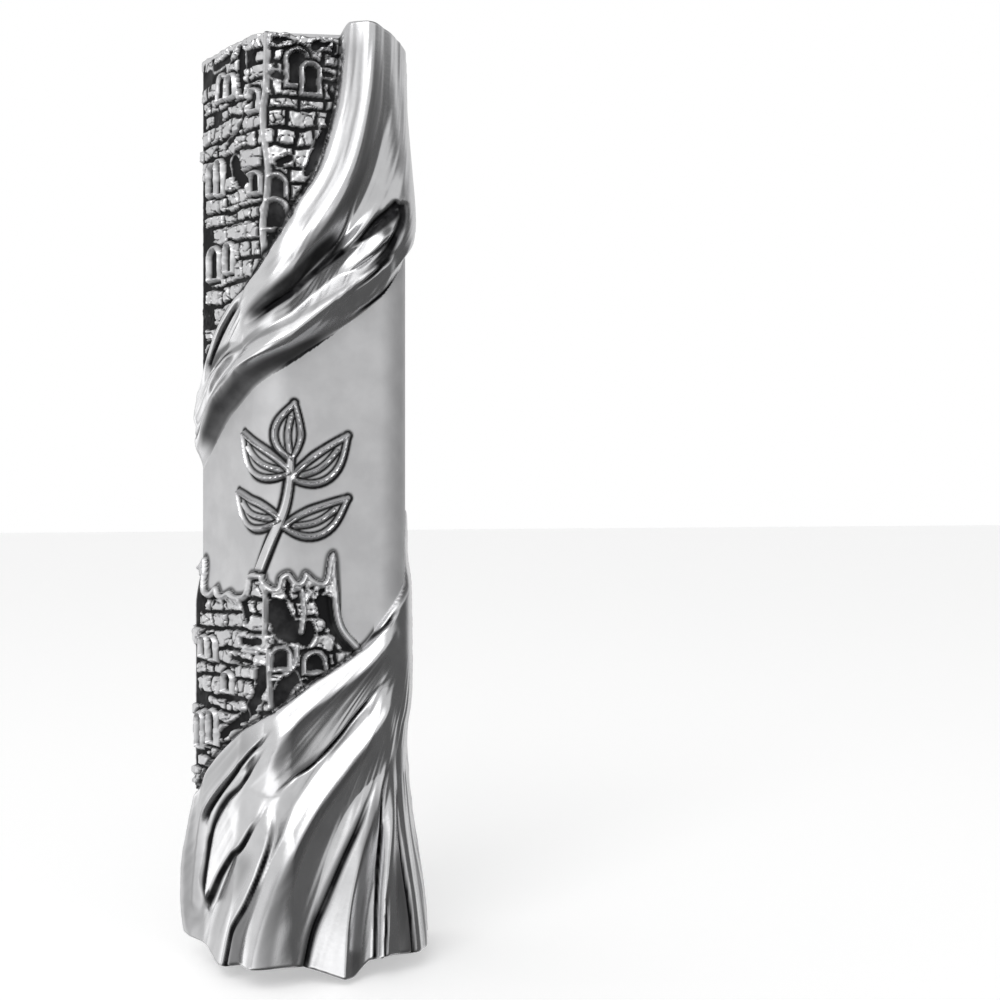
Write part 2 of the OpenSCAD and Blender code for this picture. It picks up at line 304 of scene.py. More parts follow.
# Each seam: its line, its first and last width, and how it fades in and out
UPPER_SEAMS = [
    ([(4.4, 49), (2.6, 44), (1.2, 39.6), (-1, 35.8), (-4, 32.6), (-8, 28.8), (-12.5, 25)],
     0.4, 1.2, 0.6, 0.15),
    ([(9.3, 44.6), (8, 43), (6, 41.2), (3.4, 38.2), (1.2, 36.6)], 1.3, 0.45, 0.05, 0.3),
    ([(9.3, 44.6), (9.6, 42), (8.8, 39.4), (7.2, 36.6), (5.2, 34.6), (3, 32.9)], 1.3, 0.45, 0.05, 0.4),
    ([(-13.5, 29.6), (-17, 27.3), (-20, 24.8), (-22.5, 22), (-24.2, 19.6)], 0.4, 0.6, 0.3, 0.1),
    ([(-14, 22.6), (-17, 21.5), (-20, 20), (-23.8, 18.7)], 0.4, 0.45, 0.4, 0.1),
    ([(9.4, 33.1), (7.4, 30.9), (5, 28.9), (2, 26.7)], 0.55, 0.45, 0.1, 0.4),
    ([(8.6, 37.2), (7, 34.9), (4.4, 32.4), (1, 29.8)], 0.55, 0.4, 0.2, 0.6),
    ([(1.4, 24.8), (-3, 22.4), (-8, 19.2), (-12, 16.4)], 0.9, 0.45, 0.1, 0.5),
    ([(-15, 20.3), (-20, 17.4), (-24, 13.6), (-28, 9.6)], 0.4, 0.6, 0.3, 0.05),
]
# Painted shade on the upper cloth: dark strokes along its folds and facets, partly patina in its valleys
UPPER_SHADES = [
    ([(1.6, 39.4), (-2.2, 36.2), (-5.4, 33), (-8.6, 29.4), (-12.2, 25)], 1.3, 1.1, 0.9),
    ([(2, 37.4), (-1.5, 34.6), (-4.8, 31.8), (-7.4, 29)], 0.6, 0.6, 1.0),
    ([(5.6, 68), (5.6, 60), (4.9, 55.5), (3.3, 47.7), (0.8, 42.8), (-3.3, 38.7), (-7.4, 35), (-10.7, 31.2)],
     1.0, 0.7, 0.45),
    ([(2.6, 71), (2.5, 62), (2.1, 57), (0.8, 51), (-1.4, 46), (-4.6, 41), (-8, 36.4)], 1.3, 0.8, 0.5),
    ([(9.2, 44.4), (8.2, 42.4), (6.4, 40.4), (4.6, 39), (2.4, 37.6)], 1.0, 0.35, 1.0),
    ([(9.3, 43), (9.2, 40.6), (8.3, 38), (6.8, 35.6), (5, 33.6)], 0.5, 0.6, 1.0),
    ([(-24.4, 19.8), (-20.6, 21.8), (-16.4, 23.2)], 1.1, 0.6, 0.7),
    ([(1.4, 25), (-3.3, 22.8), (-7.4, 20.7), (-10.7, 18.7), (-13.6, 17.1), (-17.7, 14.8), (-20.6, 13.2),
      (-24.7, 9.4), (-27.6, 6)], 1.0, 1.3, 0.85),
    ([(-14, 18.8), (-18.1, 17), (-23.1, 13.7), (-27.4, 10)], 0.4, 0.6, 0.6),
    ([(4, 33), (0, 30.2), (-5, 27.2), (-9.5, 24.4), (-14, 21.6)], 0.35, 0.5, 0.4),
    ([(-9, 25.6), (-13, 23), (-17, 21.4), (-22, 19.4)], 0.4, 0.4, 0.5),
]
# How far the cloth stands out on the right of the front, by height
UPPER_RIGHT = [
    (71, 0.2), (65, 0.3), (62, 0.4), (57, 0.7), (50, 1.3), (43, 1.8), (38, 1.3), (34, 0.4), (30, 0.2),
]


def upper_cloth():
    """The upper cloth's height, its patina and painted shade, and where it lies."""
    inside_top = side_of(UPPER_EDGE)
    inside_low = -side_of(LOWER_EDGE)
    groove, marks = seams(UPPER_SEAMS)
    merge = smooth(inside_low / (1.4 + 1.6 * smooth((4 - S) / 8)))
    rightmost = smooth((S - 7.5) / 2.5)
    leftmost = smooth((-S - 19) / 8)
    body = 1.0 + 0.25 * smooth((Z - 40) / 20) + fold_ridges(UPPER_FOLDS) * (1 - 0.55 * leftmost)
    body = body * (1 - rightmost) + beside(UPPER_RIGHT) * rightmost
    streaks = 0.05 * bumps(21, inside_top / 0.6, Z / 9) + 0.025 * bumps(22, inside_top / 0.3, Z / 6)
    body = body - groove + streaks
    # Painted shade along the folds, on top of the patina in the seams
    marks = np.maximum(marks, shades(UPPER_SHADES))
    cover = (inside_top > 0) & (inside_low > 0)
    return np.where(cover, rounded(inside_top) * merge * body, 0), np.where(cover, marks, 0), cover


# ---------------------------------------------------------------- lower cloth

LOWER_CLOTH_EDGE = through([
    (40, 5), (27, -2), (15, -10.5), (10, -14.5), (7, -18), (4.6, -21), (1, -23.6), (-3, -26), (-6, -28),
    (-10, -31), (-14, -33.4), (-19, -36.4), (-23, -39.4), (-26, -42.4), (-31, -47),
])

LOWER_FOLDS = [
    ([(10, -17.5), (7.5, -21), (4.4, -24.4), (0, -27.4), (-4.4, -30.4), (-7.2, -33.2), (-8.8, -37),
      (-10, -42)], 1.7, 3.0, 5.2, 0.3, 0.1, 0.25),
    ([(-8.5, -32), (-11, -35.4), (-13.3, -38.2), (-19, -42.4), (-22.8, -46), (-24.4, -49.5), (-25, -56),
      (-25.2, -63)], 1.2, 9.0, 1.2, 0.3, 0.15, 0.1),
    ([(-9.6, -42.5), (-10.6, -46), (-12.2, -49.4), (-14.2, -51.2), (-17.4, -54.6), (-20.3, -58.6),
      (-22.4, -61.4)], 1.3, 7.5, 0.8, 0.3, 0.2, 0.15),
    ([(9.6, -28), (5, -34.3), (2, -38), (-1.5, -42), (-4.5, -46), (-7, -50.6), (-8.8, -57), (-10.2, -65),
      (-10.8, -72)], 2.1, 2.6, 6.0, 0.3, 0.15, 0.02),
    ([(-8.9, -42.5), (-8.8, -46.6), (-9.8, -52), (-11.6, -58), (-13.8, -63), (-16.6, -71)],
     1.5, 7.0, 2.6, 0.3, 0.2, 0.02),
    ([(7.4, -40), (5, -46), (3.2, -51), (1.4, -58), (0.6, -66), (0.4, -72)],
     1.9, 4.4, 4.0, 0.3, 0.35, 0.02),
    ([(9, -38), (8, -46), (7, -55), (6.4, -64), (6.2, -72)], 1.5, 1.3, 3.0, 0.3, 0.4, 0.02),
    ([(10.6, -40), (10.6, -52), (11, -66), (11.2, -72)], 1.2, 1.2, 1.8, 0.3, 0.4, 0.02),
]
LOWER_SEAMS = [
    ([(-8.8, -32.6), (-11, -35.8), (-13.5, -38.8), (-18.7, -43), (-22.3, -46.4), (-23.8, -49)],
     0.4, 0.5, 0.2, 0.1),
    ([(-9.4, -35), (-13.3, -40.8), (-17.8, -44), (-20.8, -47), (-22.2, -50), (-22.8, -55), (-22.9, -61.4)],
     0.4, 2.0, 0.2, 0.05),
    ([(-9.9, -44.5), (-12.2, -49.8), (-14.2, -51.5), (-17.4, -54.9), (-20.3, -58.9), (-22.6, -61.4)],
     0.4, 0.8, 0.2, 0.1),
    ([(7.5, -26.4), (3, -31.4), (0, -34.9), (-3.5, -38.2), (-6.5, -40), (-8.8, -42.4)],
     0.45, 0.45, 0.3, 0.3),
    ([(6.4, -39.6), (3.6, -46), (0.7, -52), (-1.9, -58), (-3.9, -63), (-5.6, -71)], 0.6, 1.0, 0.35, 0.02),
    ([(-9, -43.8), (-8.7, -47), (-9.6, -52), (-11.3, -58), (-13.5, -63), (-16.2, -71)],
     0.4, 0.6, 0.3, 0.02),
    ([(8.4, -37), (6.7, -43.5), (6.3, -50), (5.6, -60), (5.3, -72)], 0.45, 0.45, 0.3, 0.02),
    ([(9.3, -42.5), (9.4, -50), (9.9, -60), (10.3, -72)], 0.5, 0.45, 0.2, 0.02),
    ([(7.2, -55), (6.9, -62), (6.6, -72)], 0.4, 0.4, 0.5, 0.02),
    ([(3, -20.9), (6, -18.6), (8.6, -15.6), (10.6, -13)], 0.5, 0.45, 0.3, 0.2),
    ([(3.6, -21.6), (7, -18.8), (9.4, -16)], 0.45, 0.4, 0.4, 0.3),
]
# Painted shade on the lower cloth: dark strokes along its folds and over facets, partly patina in its valleys
LOWER_SHADES = [
    ([(8.4, -22.6), (3.7, -26), (-1.3, -29.4), (-5.5, -32), (-7.9, -36.3), (-8.8, -40)], 0.9, 0.7, 0.5),
    ([(6.4, -29), (1.2, -34.4), (-3, -37.4), (-7.6, -40.2)], 0.5, 0.7, 0.6),
    ([(6.4, -33.4), (1.2, -39.3), (-3, -44.7), (-5.9, -49.7), (-7.8, -54.7), (-9, -61.8), (-9.8, -71)],
     0.8, 0.7, 0.5),
    ([(4.6, -43), (2, -48.4), (-0.4, -53.4), (-2.6, -58.4), (-4.4, -63.4), (-6, -71)], 0.5, 0.9, 0.7),
    ([(6.6, -41), (4.6, -45.6), (3.6, -51), (3.2, -58), (2.6, -65), (2.2, -71)], 0.9, 0.8, 0.5),
    ([(-9.6, -53), (-11, -58), (-12.5, -63), (-14.2, -69), (-14.9, -72)], 0.35, 1.0, 0.7),
    ([(-21.2, -48.4), (-22.6, -51), (-22.9, -56), (-22.8, -61)], 0.7, 0.9, 1.0),
    ([(-22.9, -61.4), (-21.4, -59.6), (-19.4, -57.4)], 0.8, 0.35, 0.9),
    ([(8.6, -50), (8.8, -58), (9.2, -66), (9.4, -71)], 0.5, 0.7, 0.5),
    ([(-9.6, -31.5), (-14, -36), (-19, -39.8), (-23.5, -43.6), (-26, -50), (-26.4, -60), (-25.4, -69)],
     1.7, 2.7, 0.42),
    ([(-11, -49), (-13.6, -55), (-16.4, -60), (-18.6, -65), (-21, -71)], 1.3, 3.4, 0.4),
]
# How far the cloth stands out at the left end and on the right of the front, by height
LOWER_LEFT = [
    (-70, 1.9), (-67, 2.8), (-62, 3.4), (-56, 3.4), (-50, 2.5), (-44, 1.3), (-39, 1.1), (-30, 1.1),
]
LOWER_RIGHT = [
    (-70, 3.4), (-66, 3.3), (-60, 2.7), (-56, 2.1), (-50, 1.2), (-44, 0.6), (-39, 0.3), (-34, 0.6),
    (-29, 1.2), (-14, 1.2), (-9, 0.6), (0, 0.4),
]
# Hanging folds on the right side, beside the front
SIDE_FOLDS = [([(s + 1, -15), (s + 0.4, -40), (s, -56), (s - 0.6, -72)], 1.8, 1.6, 2.2, 0.5, 0.3, 0.02)
              for s in (14.5, 18.3, 22, 25.6)]
# The place on the right where the lower cloth is gathered and its folds start
GATHER_CENTRE = (13, -15)


def lower_cloth():
    """The lower cloth's height, its patina and painted shade, and where it lies."""
    inside = side_of(LOWER_CLOTH_EDGE)
    groove, marks = seams(LOWER_SEAMS)
    down = smooth((-20 - Z) / 50)
    rightmost = smooth((S - 7) / 3)
    leftmost = smooth((-S - 23.5) / 4)
    folds = fold_ridges(LOWER_FOLDS + SIDE_FOLDS) * (0.75 + 0.35 * down)
    body = 0.9 + 1.2 * down + folds
    body = body * (1 - leftmost) + beside(LOWER_LEFT) * leftmost
    body = body * (1 - rightmost) + (beside(LOWER_RIGHT) + (0.1 + 0.25 * down) * (folds - 1.2)) * rightmost
    turn = np.degrees(np.arctan2(GATHER_CENTRE[1] - Z, GATHER_CENTRE[0] - S))
    away = np.hypot(S - GATHER_CENTRE[0], Z - GATHER_CENTRE[1])
    streaks = 0.07 * bumps(23, turn / 1.8, away / 14) + 0.035 * bumps(24, turn / 0.8, away / 9)
    body += streaks * smooth((away - 5) / 14)
    # Painted shade along the folds and facets, on top of the patina in the seams
    marks = np.maximum(marks, shades(LOWER_SHADES))
    cover = inside > 0
    height = rounded(inside / 0.9) * np.maximum(body - groove, 0.15)
    return np.where(cover, height, 0), np.where(cover, marks, 0), cover


# ---------------------------------------------------------------- stone wall

# How far stones stand out, as shares of STONE_OUT, and how often each comes up: a few are sunken
STONE_OUT = 0.6
STONE_LEVELS = [0.12, 0.75, 0.9, 1.05, 1.2]
STONE_CHANCES = [0.05, 0.23, 0.3, 0.26, 0.16]
JOINT_HALF_W = 0.16
STONE_SLOPE_W = 0.3


def stone_wall(seed, course, length):
    """Rough coursed stones with sunken joints: how far they stand out."""
    rng = np.random.default_rng(seed)
    s = S + 0.5 * bumps(seed + 1, S / 2.6, Z / 2.6) + 0.16 * bumps(seed + 2, S / 0.8, Z / 0.8)
    z = Z + 0.4 * bumps(seed + 3, S / 3.2, Z / 3.2) + 0.16 * bumps(seed + 4, S / 0.8, Z / 0.8)
    edges = np.cumsum(course * rng.uniform(0.7, 1.3, 90)) - CASE_H / 2 - 8
    row = np.clip(np.searchsorted(edges, z) - 1, 0, len(edges) - 2)
    from_row = np.minimum(z - edges[row], edges[row + 1] - z)
    gap = np.full(S.shape, FAR)
    out = np.zeros(S.shape)
    for r in np.unique(row):
        cuts = np.cumsum(length * rng.uniform(0.45, 1.5, 40)) - OUTLINE_HALF - rng.uniform(1, length + 1)
        m = row == r
        stone = np.clip(np.searchsorted(cuts, s[m]) - 1, 0, len(cuts) - 2)
        gap[m] = np.minimum(s[m] - cuts[stone], cuts[stone + 1] - s[m])
        out[m] = rng.choice(STONE_LEVELS, len(cuts), p=STONE_CHANCES)[stone]
    stone = smooth((np.minimum(gap, from_row) - JOINT_HALF_W) / STONE_SLOPE_W)
    rough = 0.10 * bumps(seed + 5, S / 0.75, Z / 0.75) + 0.06 * bumps(seed + 6, S / 0.35, Z / 0.35)
    cracks = bell(bumps(seed + 7, S / 1.5, Z / 1.5), 0, 0.07)
    cracks = np.maximum(cracks, bell(bumps(seed + 8, S / 2.4, Z / 1.2), 0, 0.05))
    return stone * (STONE_OUT * out + rough) * (1 - 0.75 * cracks) + 0.4 * rough * (1 - stone)


# Patina fills the wall below the first height and thins out up to the second
RECESS_FULL = 0.14
RECESS_CLEAR = 0.4


def in_recesses(out):
    """Where patina stays: everywhere that the relief is lower than its stones."""
    return 1 - smooth((out - RECESS_FULL) / (RECESS_CLEAR - RECESS_FULL))


def arch_gap(s, z, width, height):
    """Signed distance to an arched opening whose foot is at (s, z): negative inside."""
    r = width / 2
    spring = z + height - r
    above = np.hypot(S - s, Z - spring) - r
    below = np.maximum(np.abs(S - s) - r, z - Z)
    return np.where(Z > spring, above, below)


WINDOW_FLOOR = -0.35
WINDOW_FRAME_OUT = 0.95
# How far the frame, and the groove round it, reach from the opening
WINDOW_FRAME_W = 0.85
WINDOW_GROOVE_W = 1.15


def windows(out, places):
    """Sinks arched windows, each with a raised frame, into a wall."""
    wobble = 0.12 * bumps(31, S / 0.9, Z / 0.9)
    for s, z, width, height in places:
        d = arch_gap(s, z, width, height) + wobble
        out = np.where(d < WINDOW_GROOVE_W, 0.0, out)
        out = np.where(d < WINDOW_FRAME_W, WINDOW_FRAME_OUT * bell(d, 0.4, 0.3), out)
        out = np.where(d < 0.05, WINDOW_FLOOR, out)
    return out


# Each window: the s and z of its foot's middle, its width and its height
UPPER_WINDOWS = [
    (-5.6, 60.6, 2.4, 4.6), (-3.6, 59.6, 1.8, 3.8), (-21.6, 60.6, 1.9, 3.0), (-18.6, 60.4, 1.9, 2.6),
    (-24, 46.8, 2.2, 3.8), (-21.9, 46.4, 1.5, 4.4), (-8.6, 44, 1.9, 2.8), (-8.8, 39.6, 2.8, 3.6),
    (-23.6, 33.8, 2.6, 4.2), (-19, 34.4, 1.8, 3.6), (-12, 45, 1.3, 2.4), (-12.2, 57, 1.2, 2.4),
]
LOWER_WINDOWS = [
    (-24.6, -36.6, 1.8, 4.4), (-22.3, -36, 1.4, 4.2), (-26.2, -37, 1.2, 4.4), (-22.6, -23.4, 1.6, 2.6),
    (-24.8, -23.2, 1.4, 2.4), (-18.6, -28, 1.5, 2.2), (-8, -24, 1.8, 2.4), (-3, -24.6, 2.4, 2.2),
]


def ridge_along(line, width):
    """1 on a line, falling off to 0 on both sides."""
    gap, _, _ = near(through(line), 4 * width)
    return bell(gap, 0, width)


# The raised line down the wall's bend
QUOIN = [
    (-10, 70), (-10, 66), (-10.1, 60), (-10.6, 56), (-10.3, 52), (-9.8, 48), (-10, 44), (-10.6, 40),
    (-10.3, 36), (-9.8, 33),
]
# Sunken places that show dark, as strokes: a line and its half width
UPPER_HOLLOWS = [
    ([(-15.6, 66), (-15.4, 62), (-15, 60.6)], 1.0),
    ([(-24, 65.8), (-20, 66), (-18.4, 66.6)], 0.5),
    ([(-20, 52.6), (-17, 54), (-15, 55.8), (-13.4, 58)], 0.5),
    ([(-17.5, 50), (-16, 47.4), (-14, 46.8)], 1.1),
    ([(-8.6, 66.6), (-6.6, 67)], 0.45),
    ([(-3, 66.4), (-1, 67)], 0.45),
    ([(-8.8, 61.6), (-7.6, 61.4)], 0.35),
    ([(-1.8, 62.4), (-0.6, 62.2)], 0.35),
    ([(-4.2, 47.6), (-3.2, 50), (-1.6, 54)], 0.45),
    ([(-8.2, 49), (-6.8, 49.6)], 0.45),
]
LOWER_HOLLOWS = [
    ([(-8.5, -16), (-7, -18.6), (-4.6, -19.2)], 1.7),
    ([(-1.6, -15), (-0.2, -17.8), (1.8, -20.6)], 1.3),
    ([(-8.4, -28.6), (-6.6, -26)], 1.1),
    ([(-13.6, -31.6), (-11, -27.4), (-10.6, -24.6)], 0.9),
    ([(-15, -20.6), (-11, -20.4)], 0.5),
    ([(-17.4, -23.2), (-12.4, -23.4)], 0.4),
    ([(-20, -34.8), (-14, -31.4)], 0.7),
    ([(-14.6, -14), (-13.4, -17)], 0.8),
]
# Thin raised lines on the lower wall
LOWER_LINES = [
    [(-9.7, -22), (-9.6, -26), (-9.4, -29.6)],
    [(-11.4, -21.4), (-9.7, -21.8)],
    [(-4.9, -13), (-4.6, -16), (-5, -19)],
    [(-5.6, -21), (-6, -23.6), (-7.2, -25)],
    [(-10.1, -12), (-10.3, -20)],
    [(-3.6, -13.2), (-4.8, -15)],
    [(-14.6, -21.9), (-11.4, -21.9)],
]


def hollows(out, places):
    """Sinks strokes into a wall, down to its ground."""
    wobble = 0.2 * bumps(33, S / 1.1, Z / 1.1)
    for line, width in places:
        gap, _, _ = near(through(line), 4)
        d = gap + wobble
        out = np.where(d < width, np.minimum(out, 0.0), out + 0.25 * bell(d - width, 0.35, 0.25))
    return out


RAISED_LINE_OUT = 0.95


def upper_wall():
    """The upper wall's height."""
    out = windows(stone_wall(7, 2.6, 3.9), UPPER_WINDOWS)
    out = hollows(out, UPPER_HOLLOWS)
    cornice = smooth((Z - top_line(S) + 0.9 + 0.3 * bumps(41, S / 1.3, Z / 9)) / 0.3)
    out = np.maximum(out, 0.4 * cornice)
    return np.maximum(out, RAISED_LINE_OUT * ridge_along(QUOIN, 0.42))


# The lower wall's top follows roofs, a row of small domes and a spire
SKYLINE = through([
    (-31, -9), (-28.4, -9.8), (-27, -8.4), (-26, -9.4), (-25.2, -13), (-23.6, -13.6), (-22, -12.6),
    (-20.6, -13.8), (-18.6, -13.2), (-17, -13.8), (-14.4, -13.2), (-13.4, -10.6), (-10.6, -10.4),
    (-10, -11.6), (-8.7, -12.4), (-8.2, -10.8), (-6.8, -10.2), (-5.4, -11.6), (-4.4, -10.2), (-2.8, -11.4),
    (-1.6, -11.4), (-0.9, -8), (0.1, -7.8), (0.5, -12.6), (1.3, -18), (4, -21.4), (6, -24),
], 5)
SKYLINE[:, 0] = np.maximum.accumulate(SKYLINE[:, 0])


def below_skyline():
    """Distance below the skyline, negative above it."""
    gap, _, _ = near(SKYLINE, 3)
    return np.where(Z < np.interp(S, *SKYLINE.T), gap, -gap)


def lower_wall():
    """The lower wall's height, and where it lies."""
    below = below_skyline()
    out = windows(stone_wall(3, 2.4, 3.4), LOWER_WINDOWS)
    out = hollows(out, LOWER_HOLLOWS)
    for line in LOWER_LINES:
        out = np.maximum(out, RAISED_LINE_OUT * ridge_along(line, 0.35))
    out = np.maximum(out, 0.9 * bell(below, 0.55, 0.45)) - 0.25 * bell(below, 1.5, 0.3)
    cover = below > 0
    return np.where(cover, out * smooth(below / 0.3), 0), cover


# ---------------------------------------------------------------- the raised sprig

# An olive sprig: one stem with five leaves, each from its foot to its tip, measured from its middle
SPRIG_CENTRE = np.array([-6.8, 2.6])
STEM = [(-4.6, -13.2), (-2.6, -8.4), (-0.8, -4), (0, 0), (0.2, 4)]
LEAVES = [
    [(0.2, 3.4), (-0.2, 7.3), (0.8, 11.6)],
    [(0.1, 1.4), (-4.4, 3.1), (-8.2, 7.4)],
    [(0.3, 0.6), (4.9, 2.4), (8.8, 7)],
    [(-1.2, -5.4), (-6, -4.4), (-9.8, -1.2)],
    [(-0.8, -6.4), (4.2, -5.6), (8.8, -2.2)],
]
LEAF_HALF_W = 2.2
STEM_HALF_W = 0.55


def sprig():
    """The sprig's height over the panel, the patina beside its lines, and its polished rims."""
    gap, along, _ = near(through(SPRIG_CENTRE + np.array(STEM)), 5)
    stem = gap - STEM_HALF_W + 0.2 * along
    edge = np.full(S.shape, FAR)
    vein = np.full(S.shape, FAR)
    for leaf in LEAVES:
        gap, along, _ = near(through(SPRIG_CENTRE + np.array(leaf)), 6)
        width = LEAF_HALF_W * (0.1 + 0.9 * np.sin(np.pi * np.clip(along, 0, 1) ** 0.85))
        nearest = gap - width < edge
        edge = np.where(nearest, gap - width, edge)
        vein = np.where(nearest, gap + 9 * smooth((along - 0.75) * 8), vein)
    rim = bell(edge, -0.28, 0.33)
    rim = np.maximum(rim, bell(vein, 0, 0.22) * (edge < -0.4))
    rim = np.maximum(rim, smooth((0.45 - stem) / 0.5) * (edge > -0.3))
    rim = np.clip(rim, 0, 1)
    outer = bell(np.minimum(edge, stem), 0.36, 0.23)
    inner = np.maximum(bell(edge, -0.86, 0.2), bell(vein, 0.5, 0.18) * (edge < -0.8))
    groove = np.maximum(outer, 0.8 * inner * (edge < -0.4))
    out = 0.3 * smooth(-edge / 0.4) + 0.6 * rim - 0.16 * groove
    return out, np.clip(1.6 * groove, 0, 1), rim


# ---------------------------------------------------------------- putting the skin together

CLOTH_POLISH = 1.0
RIM_POLISH = 0.9
WALL_POLISH = 0.45
BACK_POLISH = 0.3
BACK_PATINA = 0.15
HEM_LIP_R = 0.7
TOP_LIP_R = 0.5


def skin_heights():
    """How far the skin stands out everywhere, its polish, and its patina and painted shade."""
    upper, upper_marks, upper_cover = upper_cloth()
    lower, lower_marks, lower_cover = lower_cloth()
    from_upper = side_of(UPPER_EDGE)
    from_lower = side_of(LOWER_CLOTH_EDGE)
    wall = upper_wall()
    low_wall, low_cover = lower_wall()
    sprig_out, sprig_dark, sprig_rim = sprig()

    above_upper = (from_upper <= 0) & (Z > 10)
    low_cover &= ~lower_cover & (S < 5)
    cloth = upper_cover | lower_cover
    plain = ~(cloth | above_upper | low_cover)

    # The wall gets lower towards its upper left corner, and the left side swells towards the hem
    taper = 1 - 0.7 * smooth((Z - 52) / 14) * smooth((-S - 19) / 6)
    swell = 1.1 * smooth((-S - 14) / 10) * smooth((-8 - Z) / 8)
    out = np.maximum(upper, lower)
    out = np.where(above_upper, wall * taper, out)
    out = np.where(low_cover, low_wall + swell, out)
    out = np.where(plain, out + sprig_out + swell, out)
    for from_edge, radius in ((Z - hem_line(S), HEM_LIP_R), (top_line(S) - Z, TOP_LIP_R)):
        out = out - radius * (1 - rounded(from_edge / radius))

    polish = np.where(cloth, CLOTH_POLISH, np.where(plain, RIM_POLISH * sprig_rim, WALL_POLISH))
    # Patina in the seams and recesses, together with painted shade on the cloths and painted shadow at edges
    patina_and_shade = np.maximum(upper_marks, lower_marks)
    patina_and_shade = np.where(above_upper, in_recesses(wall), patina_and_shade)
    patina_and_shade = np.where(low_cover, in_recesses(low_wall), patina_and_shade)
    patina_and_shade = np.where(plain, sprig_dark, patina_and_shade)
    # Painted shadow: dark lines under the edges where the cloths and the lower wall meet what is behind them
    for line in (bell(from_upper, -0.3, 0.4),
                 0.9 * (bell(from_lower, -0.25, 0.3) * (S < 6)),
                 0.8 * (bell(below_skyline(), -0.2, 0.3) * plain * (S < 1))):
        patina_and_shade = np.maximum(patina_and_shade, line)
    return out, polish, np.clip(patina_and_shade, 0, 1)


# ---------------------------------------------------------------- the casting

def arc(x, z, r, first, last, count):
    """Points along an arc on the back, as (x, z), from one angle to the other."""
    return [(x + r * math.cos(a), z + r * math.sin(a)) for a in np.linspace(first, last, count)]


def screw_hole(x, z):
    """The outline of a screw's hole."""
    turn = np.linspace(0, 2 * math.pi, 20, endpoint=False)
    return [(x + SCREW_HOLE_R * math.cos(a), z + SCREW_HOLE_R * math.sin(a)) for a in turn]


def keyhole_pocket(z):
    """The outline of a pocket behind a keyhole."""
    return (arc(0, z + POCKET_RISE, POCKET_R, 0, math.pi, 17)
            + arc(0, z, POCKET_R, math.pi, 2 * math.pi, 17))


def rebate_outline():
    """The outline of the plate's rebate, with round corners."""
    corners = ((1, REBATE_TOP), (-1, REBATE_TOP), (-1, REBATE_BOTTOM), (1, REBATE_BOTTOM))
    points = []
    for k, (side, z) in enumerate(corners):
        centre_x = side * (REBATE_HALF_W - REBATE_CORNER)
        centre_z = z - math.copysign(REBATE_CORNER, z)
        points += arc(centre_x, centre_z, REBATE_CORNER, k * math.pi / 2, (k + 1) * math.pi / 2, 9)
    return points


class Shell:
    """Collects the casting's vertices and faces."""

    def __init__(self):
        self.points = []
        self.faces = []

    def add(self, points):
        """Adds points and gives their numbers."""
        first = len(self.points)
        self.points.extend(points)
        return list(range(first, len(self.points)))

    def ring(self, outline, y):
        """Adds an outline's points at one depth."""
        return self.add([(x, y, z) for x, z in outline])

    def strip(self, a, b, closed=True):
        """A row of four-sided faces between two loops."""
        next_a, next_b = (a[1:] + a[:1], b[1:] + b[:1]) if closed else (a[1:], b[1:])
        self.faces.extend(zip(a, next_a, next_b, b))

    def fill(self, outer, holes=(), axes=(0, 2)):
        """A flat face, with holes in it, in the plane of two axes: the back's unless told otherwise."""
        first, second = axes
        loops = [outer, *holes]
        flat = [[Vector((self.points[i][first], self.points[i][second], 0)) for i in loop] for loop in loops]
        order = [i for loop in loops for i in loop]
        self.faces.extend(tuple(order[k] for k in corners) for corners in tessellate_polygon(flat))


# The top's edge is rounded in two steps: how far in and how far up each loop lies
TOP_STEPS = [(0.35, 0.12), (0.9, 0.15)]
# The hem rises at the back corners, so a lip under the plate closes the back
LIP_HALF_W = 14.3
LIP_Z = -69.3


def build_skin(shell, x, y, out_x, out_y):
    """Adds the skin and its ends, and gives the loop round the back."""
    grid = np.array(shell.add(list(zip(x.ravel(), y.ravel(), Z.ravel())))).reshape(S.shape)
    a, b, c, d = grid[:-1, :-1], grid[:-1, 1:], grid[1:, 1:], grid[1:, :-1]
    shell.faces.extend(map(tuple, np.stack([a, b, c, d], -1).reshape(-1, 4).tolist()))

    lip = shell.add([(LIP_HALF_W, 0, LIP_Z), (-LIP_HALF_W, 0, LIP_Z)])
    top = [grid[-1].tolist()]
    for inset, rise in TOP_STEPS:
        loop = []
        for k in range(COLUMNS):
            back = k in (0, COLUMNS - 1)
            step_x = -inset * (math.copysign(1, S_LINE[k]) if back else out_x[-1, k])
            step_y = 0 if back else -inset * out_y[-1, k]
            loop.append((x[-1, k] + step_x, min(y[-1, k] + step_y, 0), Z[-1, k] + rise))
        top.append(shell.add(loop))
        shell.strip(top[-2], top[-1], closed=False)
    for loop in (grid[0].tolist() + lip, top[-1]):
        shell.fill(loop, axes=(0, 1))

    left = grid[:-1, 0].tolist() + [loop[0] for loop in top]
    right = [loop[-1] for loop in top[::-1]] + grid[-2::-1, -1].tolist()
    return left + right + lip


